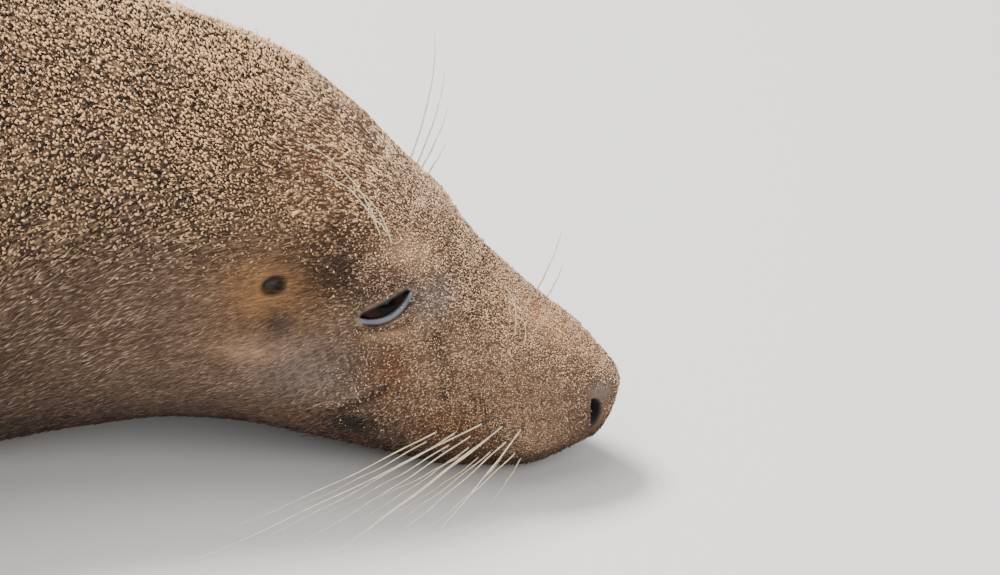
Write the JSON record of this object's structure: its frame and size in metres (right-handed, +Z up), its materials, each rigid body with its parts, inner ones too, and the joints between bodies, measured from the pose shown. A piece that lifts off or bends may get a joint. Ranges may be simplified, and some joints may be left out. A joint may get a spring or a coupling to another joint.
{
  "type": "grey seal",
  "caption": "Life-size still model of a grey seal cow lying on her belly with her chin on the ground and her eyes half closed.",
  "frame": {"origin": "middle of the footprint's box, on the ground under the belly", "axes": "+X along the body towards the head, +Z up, -Y towards the seal's right side"},
  "size_m": [1.9802, 0.782, 0.388],
  "materials": {
    "coat": "short coarse fur, damp and sandy",
    "face": "short flat fur with sand grains",
    "throat": "short flat dark fur",
    "flipper": "thin short fur over dark skin",
    "eye": "wet and glossy",
    "claw": "dark horn"
  },
  "bodies": {
    "root": {"belly": "coat", "chest": "coat", "eye_left": "eye", "eye_right": "eye", "fore_flipper_left": "flipper", "fore_flipper_left_claw_1": "claw", "fore_flipper_left_claw_2": "claw", "fore_flipper_left_claw_3": "claw", "fore_flipper_left_claw_4": "claw", "fore_flipper_left_claw_5": "claw", "fore_flipper_right": "flipper", "fore_flipper_right_claw_1": "claw", "fore_flipper_right_claw_2": "claw", "fore_flipper_right_claw_3": "claw", "fore_flipper_right_claw_4": "claw", "fore_flipper_right_claw_5": "claw", "head": "face", "hind_flipper_left": "flipper", "hind_flipper_left_claw_1": "claw", "hind_flipper_left_claw_2": "claw", "hind_flipper_left_claw_3": "claw", "hind_flipper_left_claw_4": "claw", "hind_flipper_left_claw_5": "claw", "hind_flipper_right": "flipper", "hind_flipper_right_claw_1": "claw", "hind_flipper_right_claw_2": "claw", "hind_flipper_right_claw_3": "claw", "hind_flipper_right_claw_4": "claw", "hind_flipper_right_claw_5": "claw", "hindquarters": "coat", "lower_jaw": "throat", "neck": "coat", "tail": "coat"}
  },
  "joints": []
}
